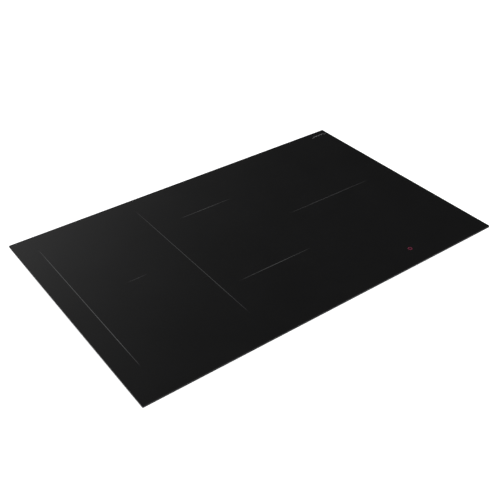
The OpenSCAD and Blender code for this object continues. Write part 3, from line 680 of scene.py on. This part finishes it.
def wound_chokes():
    """Each choke: a foot, a ring core with a round section, and two windings about it, each following
    (R + a cos(nt)) turned about the upright axis by t, and a sin(nt) up."""
    low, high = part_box("chokes")
    ring_z = high[2] - CHOKE_SECTION
    parts, strands = [], []
    section = np.linspace(0, 2 * pi, 20, endpoint=False)
    core = CHOKE_SECTION - 2 * CHOKE_WIRE
    core_profile = np.column_stack([CHOKE_RING + core * np.cos(section), core * np.sin(section)])
    edge, foot_z, axis = 0.4 * MM, 3 * MM, 0.01 * MM
    foot_profile = [
        (axis, 0),
        (CHOKE_FOOT, 0),
        (CHOKE_FOOT, foot_z - edge),
        (CHOKE_FOOT - edge, foot_z),
        (axis, foot_z),
    ]
    wind = CHOKE_SECTION - CHOKE_WIRE
    gap = radians(15)
    for x, y in CHOKES:
        x, y = x * MM, y * MM
        for profile, z, sides in ((core_profile, ring_z, 64), (foot_profile, low[2], 48)):
            points, faces = lathe(profile, (x, y, z), sides)
            parts.append((points, faces))
            strands.append(np.full(points.shape[0] * points.shape[1], CORE_TONE))
        for start in (0, pi):
            t = np.linspace(0, 1, 16 * CHOKE_TURNS + 1)
            angle = start + gap + t * (pi - 2 * gap)
            roll = 2 * pi * CHOKE_TURNS * t
            outward = np.column_stack([np.cos(roll) * np.cos(angle), np.cos(roll) * np.sin(angle), np.sin(roll)])
            ring = np.column_stack([x + CHOKE_RING * np.cos(angle), y + CHOKE_RING * np.sin(angle)])
            path = np.column_stack([ring, np.full(len(t), ring_z)]) + wind * outward
            points, faces, _ = tube(path, CHOKE_WIRE, 6, lean=outward)
            parts.append((points, faces))
            strands.append(np.full(points.shape[0] * points.shape[1], WIRE_TONE))
    tones = {"strand": strands}
    piece("choke_windings", parts, HOB, [COPPER], ["chokes"], attributes=tones)


# the springs' turns, the thickness of their wire and the radius of their turns
SPRING_TURNS = 6.5
SPRING_WIRE = 1.4 * MM
SPRING_RADIUS = 5 * MM


def spring_path(x, y, low, high):
    """A compression spring: z rises by a wire's thickness over the first and last turns and evenly between."""
    turn = np.linspace(0, SPRING_TURNS, int(36 * SPRING_TURNS) + 1)
    closed = 1.05 * SPRING_WIRE
    free = (high - low - SPRING_WIRE - 2 * closed) / (SPRING_TURNS - 2)
    z = low + SPRING_WIRE / 2 + closed * np.clip(turn, 0, 1) + free * np.clip(turn - 1, 0, SPRING_TURNS - 2)
    z += closed * np.clip(turn - SPRING_TURNS + 1, 0, 1)
    angle = 2 * pi * turn
    return np.column_stack([x + SPRING_RADIUS * np.cos(angle), y + SPRING_RADIUS * np.sin(angle), z])


def springs():
    """Four springs under each deck."""
    for deck in DECKS:
        low, high = (np.array(corner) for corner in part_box(f"{deck}_springs"))
        span = SPRING_RADIUS + SPRING_WIRE / 2
        xs, ys = (low[0] + span, high[0] - span), (low[1] + span, high[1] - span)
        parts = [tube(spring_path(x, y, low[2], high[2]), SPRING_WIRE / 2, 10)[:2] for x in xs for y in ys]
        finish = [FINISHES["spring_steel"]]
        made = piece(f"{deck}_coil_springs", parts, HOB, finish, [f"{deck}_springs"])
        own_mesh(made)


def carried_over():
    """Every CAD node gets its slot's finish."""
    slots = {entry["node"]: entry["material_slot"] for entry in frame["record"]["subparts"]}
    for name, node in NODES.items():
        node.data.materials.clear()
        node.data.materials.append(FINISHES[slots[name]])


# ---------------------------------------------------------------- studio

# soft lamps that only reflections see: azimuth from +Y towards +X, elevation, width in degrees, and light
LAMPS = [
    (-1.0, 24.2, 18.9, 0.85),
    (-72.0, 24.0, 19.0, 0.34),
    (156.0, 16.0, 17.0, 0.34),
    (-130.0, 35.0, 20.0, 0.16),
]
# the dim room: its light straight up, how much it falls to the horizon, and its least
SKY_TOP = 0.151
SKY_FALL = 0.182
SKY_LEAST = 0.024
# what the camera sees behind the hob, and what falls on matt surfaces
BACKDROP_LIGHT = 1.0
FILL_LIGHT = 0.6
FLOOR_LIGHT = 0.72
FLOOR_HALF = 9.0
FLOOR_Z = -0.4 * MM
KEY_PLACE = (-1.6, -2.2, 2.6)
KEY_AIM = (0, 0, 30 * MM)
KEY_SIZE = 1.6
KEY_POWER = 40


def studio_world():
    """White to the camera, an even fill for matt surfaces, and for reflections a dim room with soft lamps:
    the sum of light x exp(-(angle / width)^2), plus top - fall x (1 - z)."""
    world = bpy.data.worlds.new("studio")
    bpy.context.scene.world = world
    world.use_nodes = True
    tree = world.node_tree
    tree.nodes.clear()

    def maths(operation, a, b):
        made = tree.nodes.new("ShaderNodeMath")
        made.operation = operation
        for index, value in enumerate((a, b)):
            if isinstance(value, bpy.types.NodeSocket):
                tree.links.new(value, made.inputs[index])
            else:
                made.inputs[index].default_value = value
        return made.outputs[0]

    direction = tree.nodes.new("ShaderNodeTexCoord").outputs["Generated"]
    height = tree.nodes.new("ShaderNodeSeparateXYZ")
    tree.links.new(direction, height.inputs[0])
    sky = maths("SUBTRACT", SKY_TOP, maths("MULTIPLY", maths("SUBTRACT", 1.0, height.outputs["Z"]), SKY_FALL))
    mirrored = maths("MAXIMUM", sky, SKY_LEAST)
    for azimuth, elevation, width, light in LAMPS:
        azimuth, elevation = radians(azimuth), radians(elevation)
        lamp = (sin(azimuth) * cos(elevation), cos(azimuth) * cos(elevation), sin(elevation))
        towards = tree.nodes.new("ShaderNodeVectorMath")
        towards.operation = "DOT_PRODUCT"
        tree.links.new(direction, towards.inputs[0])
        towards.inputs[1].default_value = lamp
        off = maths("MULTIPLY", maths("SUBTRACT", 1.0, towards.outputs["Value"]), -2 / radians(width) ** 2)
        mirrored = maths("ADD", mirrored, maths("MULTIPLY", maths("EXPONENT", off, 0.0), light))
    ray = tree.nodes.new("ShaderNodeLightPath")
    shiny = maths("MULTIPLY", ray.outputs["Is Glossy Ray"], mirrored)
    matt = maths("MULTIPLY", maths("SUBTRACT", 1.0, ray.outputs["Is Glossy Ray"]), FILL_LIGHT)
    plain = maths("MULTIPLY", maths("SUBTRACT", 1.0, ray.outputs["Is Camera Ray"]), maths("ADD", shiny, matt))
    light = maths("ADD", plain, maths("MULTIPLY", ray.outputs["Is Camera Ray"], BACKDROP_LIGHT))
    background = tree.nodes.new("ShaderNodeBackground")
    background.inputs["Color"].default_value = (1, 1, 1, 1)
    tree.links.new(light, background.inputs["Strength"])
    output = tree.nodes.new("ShaderNodeOutputWorld")
    tree.links.new(background.outputs[0], output.inputs["Surface"])


def floor():
    """A white sweep that is lit a little from behind, so that it stays pale beside the hob."""
    mesh = bpy.data.meshes.new("floor")
    corners = [(-1, -1), (1, -1), (1, 1), (-1, 1)]
    mesh.from_pydata([(x * FLOOR_HALF, y * FLOOR_HALF, FLOOR_Z) for x, y in corners], [], [(0, 1, 2, 3)])
    made = bpy.data.objects.new("floor", mesh)
    bpy.context.scene.collection.objects.link(made)
    f = Finish("white floor", (0.8, 0.8, 0.8), 0.9)
    f.set(**{"Emission Color": (1, 1, 1, 1), "Emission Strength": FLOOR_LIGHT, "Specular IOR Level": 0.0})
    f.shades(f.noise(0.4), 0.01)
    mesh.materials.append(f.material)


def key_soft_box():
    """A square soft box aimed at the middle of the hob."""
    data = bpy.data.lights.new("key soft box", "AREA")
    data.shape = "SQUARE"
    data.size = KEY_SIZE
    data.energy = KEY_POWER
    lamp = bpy.data.objects.new("key soft box", data)
    lamp.location = KEY_PLACE
    lamp.rotation_euler = (Vector(KEY_AIM) - lamp.location).to_track_quat("-Z", "Y").to_euler()
    bpy.context.scene.collection.objects.link(lamp)


add_camera()
carried_over()
glass_top()
foam_tapes()
zone_markings()
power_symbol()
corner_mark()
windings()
wound_chokes()
springs()
studio_world()
floor()
key_soft_box()

scene = bpy.context.scene
scene.view_settings.view_transform = "Standard"
scene.view_settings.look = "None"
